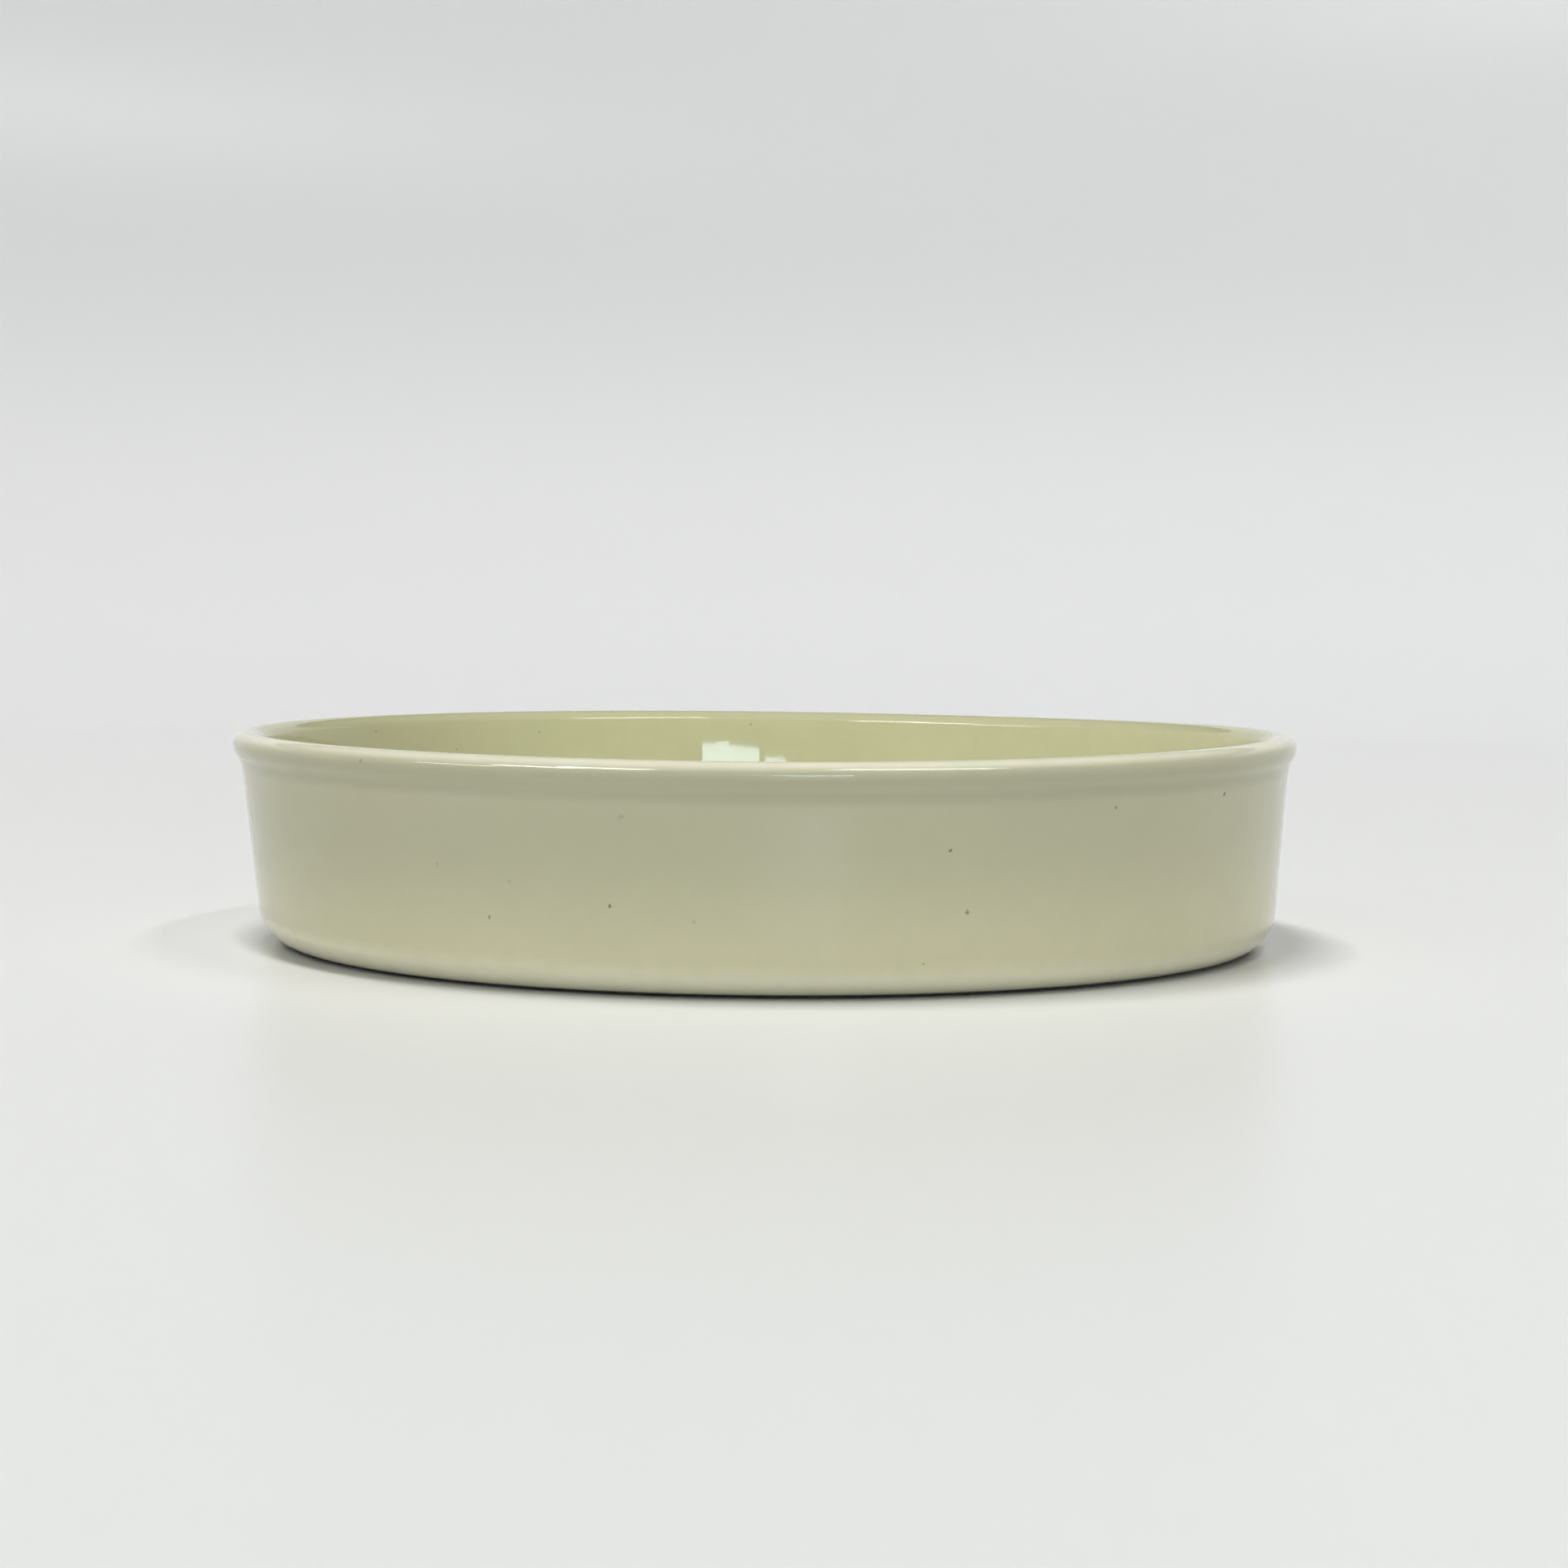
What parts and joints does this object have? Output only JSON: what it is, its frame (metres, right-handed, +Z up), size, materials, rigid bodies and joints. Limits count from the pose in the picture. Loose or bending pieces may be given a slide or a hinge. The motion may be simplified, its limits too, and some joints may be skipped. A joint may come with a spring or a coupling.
{
  "type": "evaporating dish",
  "caption": "Shallow round flat-based ceramic dish with a slightly flared wall, a rounded heel and a rolled bead rim, glazed cream.",
  "frame": {"origin": "middle of the flat ring that the dish stands on, at the height of the table", "axes": "+Z up along the axis that the dish is turned about; the dish is round, so +X and +Y are any two directions across it"},
  "size_m": [0.25, 0.25, 0.05],
  "materials": {
    "fired_clay": "bare fired clay, fine matt grain",
    "cream_glaze": "clear gloss over pale yellow-green cream"
  },
  "bodies": {
    "root": {"ceramic_body": "fired_clay", "glaze_coat": "cream_glaze"}
  },
  "joints": []
}
